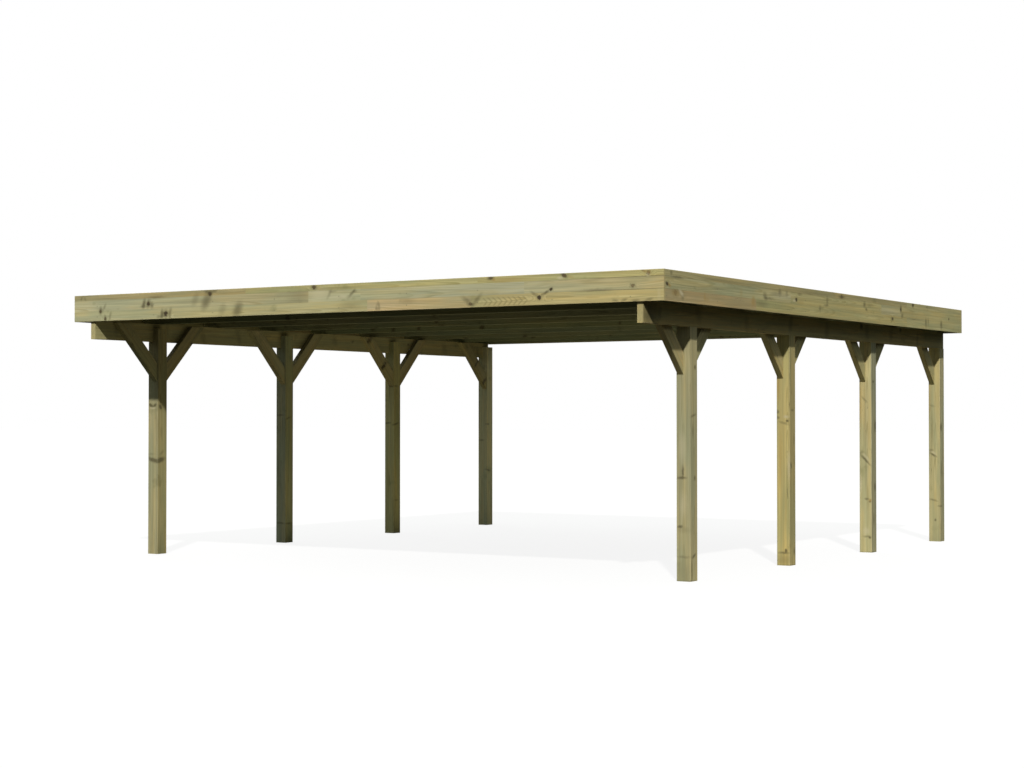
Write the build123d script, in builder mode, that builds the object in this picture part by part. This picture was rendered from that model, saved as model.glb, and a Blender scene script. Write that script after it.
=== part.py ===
"""Double carport: two rows of notched posts, a beam on each row, knee braces,
cross joists, a trapezoidal sheet roof and a timber fascia all round.

Millimetres. +X is to the right, +Y runs from the entry to the back, +Z is up.
The origin is on the ground, at the middle of the roof's plan.
"""

import math
import os

from build123d import *

# Posts
post_size = 115
posts_in_row = 4
post_spacing = 1781
row_width = 5395
head_height = 1884
tongue_thickness = 60
tongue_length = 116

# Beams, one on each row of posts
beam_thickness = 50
beam_height = 160

# Knee braces
brace_thickness = 50
brace_width = 115
brace_angle = 45
brace_drop = 354
brace_head_gap = 10

# Joists, laid across both beams
joist_thickness = 45
joist_height = 145
joist_count = 9
last_joist_spacing = 505

# Fascia boards round the roof
fascia_thickness = 22
fascia_height = 225
fascia_drop = 9
front_overhang = 737
rear_overhang = 34
side_overhang = 170.5

# Roof sheets, laid from front to back
sheet_count = 5
ribs_per_sheet = 8
sheet_thickness = 0.5
rib_height = 20
rib_crown = 35
rib_foot = 70
lap_gap = 0.3
lap_lip = 12
edge_hem = 5
sheet_side_gap = 6
sheet_end_gap = 10

# Rounded edges of planed timber
post_arris = 4
board_arris = 2.5

# Heights and plan sizes that follow
notch_depth = post_size - tongue_thickness
tongue_top = head_height + tongue_length
beam_top = head_height + beam_height
joist_top = beam_top + joist_height
fascia_bottom = beam_top - fascia_drop
roof_width = row_width + 2 * side_overhang
row_length = (posts_in_row - 1) * post_spacing + post_size
roof_depth = front_overhang + row_length + rear_overhang
roof_front = -roof_depth / 2
roof_back = roof_depth / 2
row_front = roof_front + front_overhang
row_back = row_front + row_length
clear_front = roof_front + fascia_thickness
clear_back = roof_back - fascia_thickness
clear_width = roof_width - 2 * fascia_thickness

rows = {"left": -1, "right": 1}

os.makedirs("parts", exist_ok=True)


def save(piece, name):
    """Label a finished piece and write it to its own file."""
    piece.part.label = name
    export_step(piece.part, f"parts/{name}.step")


def across(x, y, z):
    """Plane for the section of a timber that runs in +Y."""
    return Plane(origin=(x, y, z), x_dir=(1, 0, 0), z_dir=(0, 1, 0))


# Each post is a planed square timber. The outer half of its head is notched
# away: the beam sits on the shoulder and is screwed to the tongue.
for side, outward in rows.items():
    post_x = outward * (row_width - post_size) / 2
    notch_x = outward * (row_width - notch_depth) / 2
    for number in range(posts_in_row):
        post_y = row_front + post_size / 2 + number * post_spacing
        with BuildPart() as post:
            with BuildSketch(Plane((post_x, post_y, 0))):
                RectangleRounded(post_size, post_size, post_arris)
            extrude(amount=tongue_top)
            with BuildSketch(Plane((notch_x, post_y, head_height))):
                Rectangle(notch_depth, post_size)
            extrude(amount=tongue_length, mode=Mode.SUBTRACT)
        save(post, f"post_{side}_{number + 1}")

# A beam lies in the notches of its row, tight against the tongues. It reaches
# the back of the front fascia and ends level with the last post.
for side, outward in rows.items():
    beam_x = outward * ((row_width - beam_thickness) / 2 - (notch_depth - beam_thickness))
    with BuildPart() as beam:
        with BuildSketch(across(beam_x, clear_front, head_height + beam_height / 2)):
            RectangleRounded(beam_thickness, beam_height, board_arris)
        extrude(amount=row_back - clear_front)
    save(beam, f"beam_{side}")

# Knee braces stand in line with the tongues, against the inner face of the
# beam. The foot is cut upright to meet the post and the head is cut level.
brace_run = math.tan(math.radians(brace_angle))
foot_cut = brace_width / math.cos(math.radians(brace_angle))
brace_foot = head_height - brace_drop
brace_head = beam_top - brace_head_gap
lower_reach = (brace_head - brace_foot) / brace_run
upper_reach = (brace_head - brace_foot - foot_cut) / brace_run
for side, outward in rows.items():
    brace_x = outward * (row_width / 2 - notch_depth)
    for number in range(posts_in_row):
        post_front = row_front + number * post_spacing
        ways = {"front": (-1, post_front)}
        if number < posts_in_row - 1:
            ways["back"] = (1, post_front + post_size)
        for way, (direction, face_y) in ways.items():
            with BuildPart() as brace:
                with BuildSketch(Plane((brace_x, face_y, 0), x_dir=(0, 1, 0), z_dir=(1, 0, 0))):
                    with BuildLine():
                        Polyline(
                            (0, brace_foot),
                            (direction * lower_reach, brace_head),
                            (direction * upper_reach, brace_head),
                            (0, brace_foot + foot_cut),
                            close=True,
                        )
                    make_face()
                extrude(amount=-outward * brace_thickness)
                slope = Axis((0, 0, 0), (0, direction, brace_run))
                fillet(brace.edges().filter_by(slope), board_arris)
            save(brace, f"brace_{side}_{number + 1}_{way}")

# Joists span both beams and reach the side fascias. They stand at an even
# spacing from the front fascia, and the last one, closer, backs the rear fascia.
last_joist = clear_back - joist_thickness
joist_spacing = (last_joist - last_joist_spacing - clear_front) / (joist_count - 2)
joist_starts = [clear_front + number * joist_spacing for number in range(joist_count - 1)]
joist_starts.append(last_joist)
for number, start in enumerate(joist_starts):
    with BuildPart() as joist:
        with BuildSketch(Plane.YZ.offset(-clear_width / 2)):
            with Locations((start + joist_thickness / 2, beam_top + joist_height / 2)):
                RectangleRounded(joist_thickness, joist_height, board_arris)
        extrude(amount=clear_width)
    save(joist, f"joist_{number + 1}")

# The front and rear fascias run the full width and cover the ends of the
# side fascias.
fascia_mid = fascia_bottom + fascia_height / 2
for name, start in {"front": roof_front, "back": clear_back}.items():
    with BuildPart() as fascia:
        with BuildSketch(Plane.YZ.offset(-roof_width / 2)):
            with Locations((start + fascia_thickness / 2, fascia_mid)):
                RectangleRounded(fascia_thickness, fascia_height, board_arris)
        extrude(amount=roof_width)
    save(fascia, f"fascia_{name}")
for side, outward in rows.items():
    fascia_x = outward * (roof_width - fascia_thickness) / 2
    with BuildPart() as fascia:
        with BuildSketch(across(fascia_x, clear_front, fascia_mid)):
            RectangleRounded(fascia_thickness, fascia_height, board_arris)
        extrude(amount=clear_back - clear_front)
    save(fascia, f"fascia_{side}")

# Trapezoidal steel sheets lie on the joists. A sheet starts with a rib that
# stops short of the pan, and ends with a wider rib that laps the next sheet.
rib_slope = (rib_foot - rib_crown) / 2
lap_rise = sheet_thickness + lap_gap
lap_spread = lap_rise * math.hypot(rib_slope, rib_height) / rib_height
lap_crown = rib_crown + 2 * (lap_spread - lap_rise * rib_slope / rib_height)
lap_foot = rib_foot + 2 * lap_spread
hem_inset = rib_slope * edge_hem / rib_height
sheets_width = clear_width - 2 * sheet_side_gap
sheet_cover = (sheets_width - rib_foot / 2 + hem_inset - lap_foot / 2 - lap_lip) / sheet_count
rib_pitch = sheet_cover / ribs_per_sheet
first_rib_x = -sheets_width / 2 + rib_foot / 2 - hem_inset


def rib(centre, crown, foot, top):
    """Underside of one rib, from its left foot to its right foot."""
    return [
        (centre - foot / 2, 0),
        (centre - crown / 2, top),
        (centre + crown / 2, top),
        (centre + foot / 2, 0),
    ]


underside = rib(0, rib_crown, rib_foot, rib_height)
underside[0] = (hem_inset - rib_foot / 2, edge_hem)
for number in range(1, ribs_per_sheet):
    underside += rib(number * rib_pitch, rib_crown, rib_foot, rib_height)
lap_rib = rib(sheet_cover, lap_crown, lap_foot, rib_height + lap_rise)
lap_slope = (lap_foot - lap_crown) / 2 / (rib_height + lap_rise)
lap_edge = sheet_cover + lap_foot / 2 - lap_slope * lap_rise
underside += lap_rib[:3] + [(lap_edge, lap_rise), (lap_edge + lap_lip, lap_rise)]

for number in range(sheet_count):
    back_corner = (first_rib_x + number * sheet_cover, clear_back - sheet_end_gap, joist_top)
    with BuildPart() as sheet:
        with BuildSketch(Plane(back_corner, x_dir=(1, 0, 0), z_dir=(0, -1, 0))):
            with BuildLine():
                Polyline(*underside)
                offset(amount=sheet_thickness, side=Side.LEFT)
            make_face()
        extrude(amount=clear_back - clear_front - 2 * sheet_end_gap)
    save(sheet, f"roof_sheet_{number + 1}")
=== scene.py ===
"""Looks of a double carport: a treated softwood frame on eight posts, glued
fascia boards and a coated steel roof, seen from the front right corner."""

import math
import random

import bmesh
import bpy
from mathutils import Euler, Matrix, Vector


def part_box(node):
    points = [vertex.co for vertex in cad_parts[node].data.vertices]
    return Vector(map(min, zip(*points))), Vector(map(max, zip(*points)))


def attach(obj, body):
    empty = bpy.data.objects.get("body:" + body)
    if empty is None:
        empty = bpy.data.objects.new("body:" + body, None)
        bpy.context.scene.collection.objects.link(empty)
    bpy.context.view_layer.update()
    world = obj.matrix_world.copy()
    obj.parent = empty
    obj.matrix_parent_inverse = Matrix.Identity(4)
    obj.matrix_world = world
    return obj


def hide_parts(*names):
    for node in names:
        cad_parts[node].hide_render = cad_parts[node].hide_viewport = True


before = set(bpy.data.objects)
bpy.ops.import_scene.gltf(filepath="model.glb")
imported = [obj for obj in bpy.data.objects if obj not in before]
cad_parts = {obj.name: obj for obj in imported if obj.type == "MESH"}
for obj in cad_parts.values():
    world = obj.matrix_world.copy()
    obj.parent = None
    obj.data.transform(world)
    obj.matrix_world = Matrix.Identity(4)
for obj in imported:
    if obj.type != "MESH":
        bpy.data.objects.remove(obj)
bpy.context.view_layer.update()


# Posts. Eight planed square timbers of pressure-treated pine, cut from the
# middle of the log, so that the rings lie round a heart near the centre and
# knots run out of it to all four faces. The rings show on the sawn ends.
class Shade:
    """A socket of a node tree. Sums and products of shades add Math nodes."""

    def __init__(self, tree, socket=None):
        self.tree = tree
        self.socket = socket

    def node(self, kind, settings=None, sockets=None, output=0):
        """A new node: its settings first, then its sockets' values or links."""
        made = self.tree.nodes.new(kind if "Node" in kind else "ShaderNode" + kind)
        for name, value in (settings or {}).items():
            setattr(made, name, value)
        for name, value in (sockets or {}).items():
            if isinstance(value, Shade):
                self.tree.links.new(value.socket, made.inputs[name])
            else:
                made.inputs[name].default_value = value
        return Shade(self.tree, made.outputs[output] if len(made.outputs) else None)

    def math(self, operation, *values):
        return self.node("Math", {"operation": operation}, dict(enumerate(values)))

    def __add__(self, other):
        return self.math("ADD", self, other)

    def __radd__(self, other):
        return self.math("ADD", other, self)

    def __sub__(self, other):
        return self.math("SUBTRACT", self, other)

    def __rsub__(self, other):
        return self.math("SUBTRACT", other, self)

    def __mul__(self, other):
        return self.math("MULTIPLY", self, other)

    def __rmul__(self, other):
        return self.math("MULTIPLY", other, self)

    def __truediv__(self, other):
        return self.math("DIVIDE", self, other)

    def __abs__(self):
        return self.math("ABSOLUTE", self)

    def step(self, low, high):
        """Smooth step from 0 at low to 1 at high. Low may be the greater."""
        mirrored = low > high
        ends = {"Value": self, "From Min": min(low, high), "From Max": max(low, high)}
        ends["To Min"] = float(mirrored)
        ends["To Max"] = float(not mirrored)
        return self.node("MapRange", {"interpolation_type": "SMOOTHSTEP"}, ends)

    def vector(self, operation, *values, output=0):
        sockets = dict(enumerate((self,) + values))
        return self.node("VectorMath", {"operation": operation}, sockets, output)

    def scaled(self, factor):
        return self.node("VectorMath", {"operation": "SCALE"}, {0: self, "Scale": factor})

    def other(self, output):
        """Another output of the same node."""
        return Shade(self.tree, self.socket.node.outputs[output])

    def axes(self):
        """The three parts of a vector."""
        parts = self.node("SeparateXYZ", sockets={0: self})
        return [parts.other(number) for number in range(3)]

    def noise(self, stretch, shift, detail=2.0, roughness=0.5, output=0):
        """Noise in this vector, stretched and shifted by three numbers each."""
        spot = self.vector("MULTIPLY_ADD", stretch, shift)
        sockets = {"Vector": spot, "Scale": 1.0, "Detail": detail, "Roughness": roughness}
        return self.node("TexNoise", None, sockets, output)

    def turned(self, turn, middle=(0.0, 0.0, 0.0)):
        """This vector as it is in a frame that stands turned at middle."""
        sockets = {"Vector": self, "Location": middle, "Rotation": turn}
        return self.node("Mapping", {"vector_type": "TEXTURE"}, sockets)

    def mix(self, other, share):
        """This colour or vector, changed to other by share."""
        return self.node("Mix", {"data_type": "RGBA"}, {0: share, 6: self, 7: other}, 2)

    def blend(self, low, high):
        """From one fixed colour at 0 to another at 1."""
        return self.node("Mix", {"data_type": "RGBA"}, {0: self, 6: low, 7: high}, 2)

    def surface(self, sockets):
        """The last nodes of a material that has this base colour."""
        shader = self.node("BsdfPrincipled", None, {"Base Color": self} | sockets)
        shader.node("OutputMaterial", None, {"Surface": shader})


def blank_material(name):
    """A material without nodes, and a shade to start its tree from."""
    material = bpy.data.materials.new(name)
    material.use_nodes = True
    material.node_tree.nodes.clear()
    return material, Shade(material.node_tree)


# Tones of the smears.
STAINS = {
    "dark": (0.105, 0.090, 0.042, 1),
    "warm": (0.430, 0.290, 0.090, 1),
    "pale": (0.660, 0.600, 0.390, 1),
}


def timber(
    name, heart, turn, tint, centre, half, painted_side_light=None, painted_top_shade=0.0, ring=0.0038,
    knots=0.45, blackest=0.8, worn=0.35, marks=(), stains=(), seams=(), open_end=1.0,
    arrows=(),
):
    """Pressure-treated pine with its rings round a heart line.

    heart is a point of that line, or the attribute that holds it for each
    glued strip. turn takes X to the grain. tint colours the whole timber, or
    names the attribute that colours each strip. The side tint of the faces
    towards X is painted light, which sets them lighter or darker than the
    other faces, and the top shade is painted shade on the faces that look
    up. centre and half are the middle and half section of the timber, for
    its pale edges, partly worn and partly a painted highlight. knots is the
    share of branches that show and blackest the most that one darkens.
    marks are knots at set places: a point, a radius, how dark, and how dark
    the grain round it. stains are smears of grain or resin: a tone, a point,
    half sizes, a turn and a strength. seams are the heights of glued edges,
    which open towards the far end of the timber, or the near end where
    open_end is negative. arrows are stretches of flat-sawn grain: a point,
    half sizes and a pitch.
    """
    material, start = blank_material(name)
    draw = random.Random(name)
    shift = [tuple(draw.uniform(-40, 40) for _ in range(3)) for _ in range(8)]

    place = start.node("TexCoord", output="Object")
    if isinstance(heart, str):
        heart = place.node("Attribute", {"attribute_name": heart}, output="Vector")
    grain = place.vector("SUBTRACT", heart).turned(turn)
    wander = grain.noise((0.7, 2.5, 2.5), shift[0], 1.0, output="Color")
    bent = wander.vector("MULTIPLY_ADD", (0.0, 0.03, 0.03), grain)
    along, across, deep = bent.axes()
    radius = bent.vector("MULTIPLY", (0.0, 1.0, 1.0)).vector("LENGTH", output="Value")
    angle = deep.math("ARCTAN2", deep, across)

    # Knots are branches that start at the heart, a few to each length of stem.
    # off leads from the nearest knot and reach is its length, in knot radii.
    stem_step = 0.33
    turn_step = 2 * math.pi / 5
    thinnest = 0.005
    thicker = 0.012
    no_knot = 20
    branch = along.node(
        "CombineXYZ", sockets={0: along / stem_step + shift[1][0], 1: angle / turn_step}
    )
    cells = {"voronoi_dimensions": "2D", "feature": "F1"}
    nearest = branch.node("TexVoronoi", cells, {"Vector": branch, "Scale": 1.0}, "Position")
    size_draw, there_draw, dark_draw = nearest.other("Color").axes()
    off_x, off_angle, _ = branch.vector("SUBTRACT", nearest).axes()
    size = thinnest + thicker * size_draw
    off = along.node(
        "CombineXYZ",
        sockets={0: off_x * stem_step / size, 1: off_angle * turn_step * radius / size},
    )
    missing = there_draw.step(knots - 0.01, knots + 0.01)
    reach = off.vector("LENGTH", output="Value") + no_knot * missing
    dark = dark_draw * blackest
    halo = 0.25 + 0.5 * size_draw
    for spot, mark_size, mark_dark, mark_halo in marks:
        # The branch runs through the timber on the axis where its point is central.
        through = [abs(value - middle) < 1e-6 for value, middle in zip(spot, centre)]
        scale = [0.0 if on_axis else 1 / mark_size for on_axis in through]
        back = [-value * factor for value, factor in zip(spot, scale)]
        x, y, z = place.vector("MULTIPLY_ADD", scale, back).turned(turn).axes()
        here = x.node("CombineXYZ", sockets={0: x, 1: y + z})
        here_reach = here.vector("LENGTH", output="Value")
        nearer = here_reach.math("LESS_THAN", here_reach, reach)
        off = off.mix(here, nearer)
        reach = here_reach.math("MINIMUM", here_reach, reach)
        size = size + nearer * (mark_size - size)
        dark = dark + nearer * (mark_dark - dark)
        halo = halo + nearer * (mark_halo - halo)
    present = reach.step(9.0, 6.0)
    ragged = grain.noise((30.0, 55.0, 55.0), shift[2], 3.0, 0.6, "Color")
    torn_out = (2.6, 2.0, 0.0)
    off = ragged.vector("MULTIPLY_ADD", torn_out, off)
    off = off.vector("SUBTRACT", [part / 2 for part in torn_out])
    reach = off.vector("LENGTH", output="Value") + no_knot * (1 - present)
    knot_x, knot_y, _ = off.axes()

    # Growth rings bulge round each knot, taper along the stem and are narrower
    # in some years.
    taper = 0.009
    wobble = 0.010
    bulge = knot_x * knot_x / 9.0 + knot_y * knot_y / 3.5
    bulge = bulge.math("EXPONENT", 0.0 - bulge) * present
    uneven = grain.noise((1.6, 14.0, 14.0), shift[3], 2.0)
    years = (radius + taper * along + 1.1 * size * bulge + wobble * uneven) / ring
    year = years.math("FLOOR", years)
    season = years.math("FRACT", years)
    strength = year.node("TexWhiteNoise", {"noise_dimensions": "1D"}, {"W": year}, "Value")
    late = season.step(0.35, 0.9) * season.step(1.0, 0.94) * (0.35 + 0.65 * strength)

    # Fibres, streaks of sap and the uneven take-up of the green treatment.
    fibre = grain.noise((9.0, 620.0, 620.0), shift[4], 2.0, 0.6)
    streak = grain.noise((1.1, 52.0, 52.0), shift[5], 4.0, 0.66)
    patch = grain.noise((1.3, 8.0, 8.0), shift[6], 2.0, 0.55)
    flame = grain.noise((1.3, 30.0, 30.0), shift[7], 3.0, 0.6)
    smudge = grain.noise((5.0, 7.0, 7.0), shift[1], 3.0, 0.6).step(0.60, 0.74)

    if isinstance(tint, str):
        tint = place.node("Attribute", {"attribute_name": tint}, output="Vector")
    early_wood = (0.51, 0.455, 0.245, 1)
    late_wood = (0.31, 0.262, 0.110, 1)
    sap = (0.55, 0.440, 0.190, 1)
    green = (0.36, 0.370, 0.215, 1)
    olive = (0.25, 0.240, 0.110, 1)
    colour = (0.75 * late).blend(early_wood, late_wood)
    colour = colour.mix(sap, 0.50 * flame.step(0.44, 0.62))
    colour = colour.mix(green, 0.55 * patch.step(0.44, 0.62))
    colour = colour.mix(olive, 0.45 * smudge)
    shine = (0.52 + 0.96 * streak) * (0.90 + 0.20 * fibre)
    outward, _, upward = place.node("NewGeometry", output="Normal").axes()
    # Painted shade: the top shade darkens the faces that look up.
    if painted_top_shade:
        shine = shine * (1 - painted_top_shade * upward.step(0.45, 0.65))
    # Painted light: the faces towards X take the side tint, lighter or darker than the rest.
    if painted_side_light:
        tint = abs(outward).step(0.4, 0.6).blend((*tint, 1), (*painted_side_light, 1))
    colour = colour.scaled(shine).vector("MULTIPLY", tint)

    # Glued edges are dark hairlines, faint over most of the board. Flat-sawn
    # grain runs in arrows.
    glue_line = (0.10, 0.085, 0.040, 1)
    flat_grain = (0.25, 0.205, 0.090, 1)
    faint = 0.12
    direction = Vector((1, 0, 0))
    direction.rotate(Euler(turn))
    for seam in seams:
        _, _, level = place.axes()
        lengthways = place.vector("DOT_PRODUCT", tuple(direction), output="Value")
        opened = (lengthways * open_end).step(1.8, 2.8)
        line = abs(level - seam).step(0.0034, 0.0010)
        line = line * (faint + (1 - faint) * opened) * streak.step(0.36, 0.52)
        colour = colour.mix(glue_line, 0.8 * line)
    for spot, half_long, half_wide, pitch in arrows:
        x, _, z = place.vector("SUBTRACT", spot).axes()
        wave = (x + 1.15 * abs(z) + 0.03 * uneven) / pitch
        wave = wave.math("FRACT", wave)
        inside = abs(x).step(half_long, 0.75 * half_long)
        inside = inside * abs(z).step(half_wide, 0.75 * half_wide)
        arrow = 0.54 * inside * wave.step(0.4, 0.8) * wave.step(1.0, 0.85)
        colour = colour.mix(flat_grain, arrow)

    # Smears where branches left the stem, torn a little by the fibres.
    tear = 0.018
    torn = place.noise((26.0, 26.0, 26.0), shift[3], 3.0, 0.65, "Color")
    torn = torn.vector("MULTIPLY_ADD", (tear,) * 3, place)
    amounts = {}
    leaning = {}
    for tone, spot, sizes, lean, strength in stains:
        if lean not in leaning:
            leaning[lean] = torn.turned(lean)
        spot = Euler(lean).to_matrix().inverted() @ (Vector(spot) + Vector((tear / 2,) * 3))
        scale = [1 / half_size for half_size in sizes]
        near = [-value / half_size for value, half_size in zip(spot, sizes)]
        near = leaning[lean].vector("MULTIPLY_ADD", scale, near)
        amount = near.vector("LENGTH", output="Value").step(1.4, 0.1) * strength
        amounts[tone] = amount + amounts[tone] if tone in amounts else amount
    for tone, amount in amounts.items():
        share = amount.math("MINIMUM", amount, 0.9) * (0.62 + 0.5 * streak)
        colour = colour.mix(STAINS[tone], share)

    # Darker, greener grain stands on both sides of a knot. The knot has its own
    # rings, its rim is dark and its core may be black.
    collar_grain = (0.16, 0.150, 0.065, 1)
    knot_wood = (0.21, 0.130, 0.055, 1)
    knot_ring = (0.13, 0.080, 0.035, 1)
    black = (0.035, 0.026, 0.016, 1)
    bark = (0.07, 0.050, 0.024, 1)
    lobe = abs(knot_x) - 1.5 - 0.4 * (size_draw - 0.5) * knot_y
    lobe = lobe * lobe / 0.7 + knot_y * knot_y / 2.6
    cloud = knot_x * knot_x / 3.2 + knot_y * knot_y / 3.2
    collar = 0.8 * lobe.math("EXPONENT", 0.0 - lobe) + 0.5 * cloud.math("EXPONENT", 0.0 - cloud)
    collar = collar * present * (0.45 + 0.55 * flame.step(0.35, 0.60))
    colour = colour.mix(collar_grain, halo * collar)
    core = reach.step(1.15, 0.75) * present
    rim = abs(reach - 1.0).step(0.35, 0.05) * present
    knot_rings = reach.math("SINE", reach * 9.0) * 0.5 + 0.5
    knot = knot_rings.blend(knot_wood, knot_ring).mix(black, dark * 0.85)
    colour = colour.mix(knot, (0.35 + 0.6 * dark) * core)
    colour = colour.mix(bark, (0.2 + 0.5 * dark) * rim)

    # Drying checks follow the grain. Sawn ends drink more of the treatment.
    crack = (0.07, 0.055, 0.030, 1)
    end_grain = (0.48, 0.405, 0.195, 1)
    split = grain.noise((1.5, 75.0, 75.0), shift[7], 1.0)
    where = grain.noise((1.2, 9.0, 9.0), shift[2], 1.0)
    check = abs(split - 0.5).step(0.006, 0.001) * where.step(0.60, 0.68)
    colour = colour.mix(crack, 0.8 * check)
    facing = place.node("NewGeometry", output="Normal")
    sawn = abs(facing.vector("DOT_PRODUCT", tuple(direction), output="Value")).step(0.75, 0.95)
    colour = colour.mix(end_grain, 0.45 * sawn)

    # Planed edges are pale: partly rubbed by wear, partly a painted highlight along the arris.
    rubbed_and_highlit_wood = (0.58, 0.520, 0.320, 1)
    _, side, face = place.turned(turn, centre).axes()
    edge = (half[0] - abs(side)) + (half[1] - abs(face))
    rubbed = edge.step(0.008, 0.0025) * flame.step(0.35, 0.7)
    colour = colour.mix(rubbed_and_highlit_wood, worn * rubbed)

    rough = 0.66 + 0.16 * fibre - 0.10 * core - 0.06 * late
    height = 0.35 * late + 0.45 * fibre - 1.6 * check + 0.5 * core
    bump = height.node("Bump", None, {"Strength": 0.55, "Distance": 0.0009, "Height": height})
    colour.surface({"Roughness": rough, "Normal": bump, "IOR": 1.45})
    return material


UPRIGHT = (0.0, -math.pi / 2, 0.0)
# Tints of the front and back faces, then of the side faces: each post's tone, with painted light,
# as its faces are set lighter or darker for the light that falls on them.
post_tints_and_light = {
    "post_left_1": ((0.88, 0.90, 0.93), (0.84, 0.83, 0.72)),
    "post_left_2": ((0.89, 1.01, 1.26), (0.90, 0.98, 0.92)),
    "post_left_3": ((1.18, 1.28, 1.20), (1.12, 1.14, 0.90)),
    "post_left_4": ((1.22, 1.31, 1.50), (1.45, 1.46, 1.50)),
    "post_right_1": ((0.88, 0.91, 0.96), (0.99, 0.99, 1.01)),
    "post_right_2": ((1.18, 1.12, 0.89), (0.94, 0.88, 0.73)),
    "post_right_3": ((1.21, 1.20, 1.16), (0.74, 0.80, 0.93)),
    "post_right_4": ((1.11, 1.12, 1.07), (0.89, 0.92, 0.98)),
}
# Smears by tone, in millimetres: place across the face, height, half width,
# half height, then lean in degrees and strength.
post_stains = {
    ("post_right_1", "front"): {
        "dark": [
            (2635, 813, 6, 41, 0, 1.0), (2625, 766, 38, 7, 4, 0.9), (2611, 405, 22, 7, 0, 0.9),
            (2639, 381, 66, 22, 0, 0.2), (2643, 181, 54, 7, 0, 0.4), (2630, 55, 75, 96, 0, 0.3),
        ],
        "pale": [(2632, 987, 27, 118, 0, 0.5), (2639, 565, 28, 89, 0, 0.4)],
    },
    ("post_right_1", "right"): {
        "dark": [
            (-2300, 1588, 15, 16, 0, 0.9), (-2327, 1228, 39, 7, 17, 0.7),
            (-2334, 1113, 13, 52, 0, 0.5), (-2308, 764, 15, 19, 0, 0.8),
            (-2321, 187, 29, 7, 29, 1.0), (-2354, 71, 11, 103, 0, 0.7),
        ],
    },
    ("post_right_2", "front"): {
        "dark": [
            (2677, 1183, 13, 10, 0, 1.2), (2642, 1167, 44, 7, -11, 0.5),
            (2592, 1259, 12, 15, 0, 0.8), (2594, 1211, 16, 11, 0, 0.8),
            (2664, 125, 11, 13, 0, 1.3), (2643, 106, 49, 6, 0, 0.7), (2643, 46, 58, 49, 0, 0.45),
        ],
        "pale": [(2669, 1218, 23, 13, 0, 0.7), (2688, 815, 12, 106, 7, 0.6)],
        "warm": [
            (2598, 1470, 11, 131, 0, 0.7), (2614, 863, 11, 213, 2, 0.5),
            (2662, 455, 9, 180, -1, 0.4),
        ],
    },
    ("post_right_2", "right"): {
        "dark": [
            (-572, 819, 12, 23, 0, 1.1), (-511, 1027, 12, 49, 0, 0.5),
            (-509, 116, 16, 30, 0, 0.8), (-542, 1273, 28, 8, 0, 0.6),
        ],
    },
    ("post_right_3", "front"): {
        "dark": [
            (2638, 831, 62, 7, -39, 0.9), (2602, 897, 25, 14, 11, 0.5),
            (2631, 1373, 34, 6, -40, 0.5), (2681, 457, 11, 5, 0, 0.9),
            (2652, 481, 19, 7, 0, 0.7), (2655, 144, 40, 6, 0, 0.5), (2680, 134, 13, 10, 0, 0.8),
            (2653, 1099, 29, 162, 0, 0.2),
        ],
        "pale": [
            (2648, 853, 50, 6, -39, 0.6), (2646, 192, 30, 30, 0, 0.6),
            (2596, 613, 10, 72, -6, 0.6),
        ],
        "warm": [(2684, 468, 12, 12, 0, 1.0), (2592, 1368, 9, 216, 0, 0.6)],
    },
    ("post_right_3", "right"): {
        "dark": [
            (1270, 1134, 22, 50, 0, 0.9), (1228, 1534, 19, 14, 0, 1.0),
            (1263, 585, 19, 36, 0, 0.8), (1236, 290, 17, 54, 0, 0.5),
        ],
    },
    ("post_right_4", "front"): {
        "dark": [
            (2626, 845, 40, 7, -23, 0.9), (2604, 889, 24, 14, 0, 0.6),
            (2610, 1327, 34, 7, -16, 0.4), (2619, 1088, 9, 156, 0, 0.4),
            (2627, 404, 43, 8, -10, 0.6), (2646, 209, 10, 12, 0, 0.9),
        ],
        "pale": [(2629, 867, 32, 6, -23, 0.6)],
        "warm": [(2590, 1381, 8, 196, 0, 0.6)],
    },
    ("post_right_4", "right"): {
        "dark": [
            (2996, 1117, 20, 35, 0, 0.9), (2997, 697, 17, 78, 0, 0.5),
            (2982, 346, 34, 8, 0, 0.8),
        ],
    },
    ("post_left_1", "front"): {
        "dark": [
            (-2667, 1320, 25, 13, -32, 1.3), (-2619, 1320, 20, 13, 32, 1.3),
            (-2640, 833, 62, 18, -8, 1.1), (-2661, 886, 36, 9, 0, 0.3),
        ],
        "pale": [(-2643, 1294, 36, 7, 0, 0.6)],
    },
    ("post_left_1", "right"): {
        "dark": [
            (-2345, 833, 52, 21, 17, 1.1), (-2328, 895, 14, 32, 40, 0.4),
            (-2345, 1306, 26, 15, -45, 1.2), (-2329, 1082, 8, 62, 0, 0.3),
        ],
    },
    ("post_left_2", "front"): {
        "dark": [
            (-2645, 189, 50, 8, 0, 0.6), (-2648, 1234, 50, 10, 0, 0.5),
            (-2671, 701, 10, 136, 0, 0.4),
        ],
    },
    ("post_left_2", "right"): {
        "dark": [(-551, 184, 40, 9, 0, 0.6), (-555, 1205, 39, 10, 12, 0.5)],
    },
    ("post_left_3", "front"): {
        "dark": [(-2661, 1151, 39, 8, 0, 0.6), (-2653, 555, 9, 126, 0, 0.3)],
    },
    ("post_left_3", "right"): {
        "dark": [
            (1219, 1141, 53, 10, 10, 0.7), (1219, 1539, 43, 8, 0, 0.5),
            (1230, 345, 36, 8, 0, 0.4),
        ],
    },
    ("post_left_4", "front"): {
        "dark": [(-2658, 954, 35, 9, 0, 0.5)],
    },
    ("post_left_4", "right"): {
        "dark": [(2984, 1135, 29, 9, 0, 0.6), (2990, 617, 45, 8, -11, 0.6)],
    },
}


def from_table(table):
    """The smears of a table, in metres."""
    rows = []
    for tone, smears in table.items():
        for *lengths, lean, strength in smears:
            rows.append((tone, *(length / 1000 for length in lengths), lean, strength))
    return rows


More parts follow.
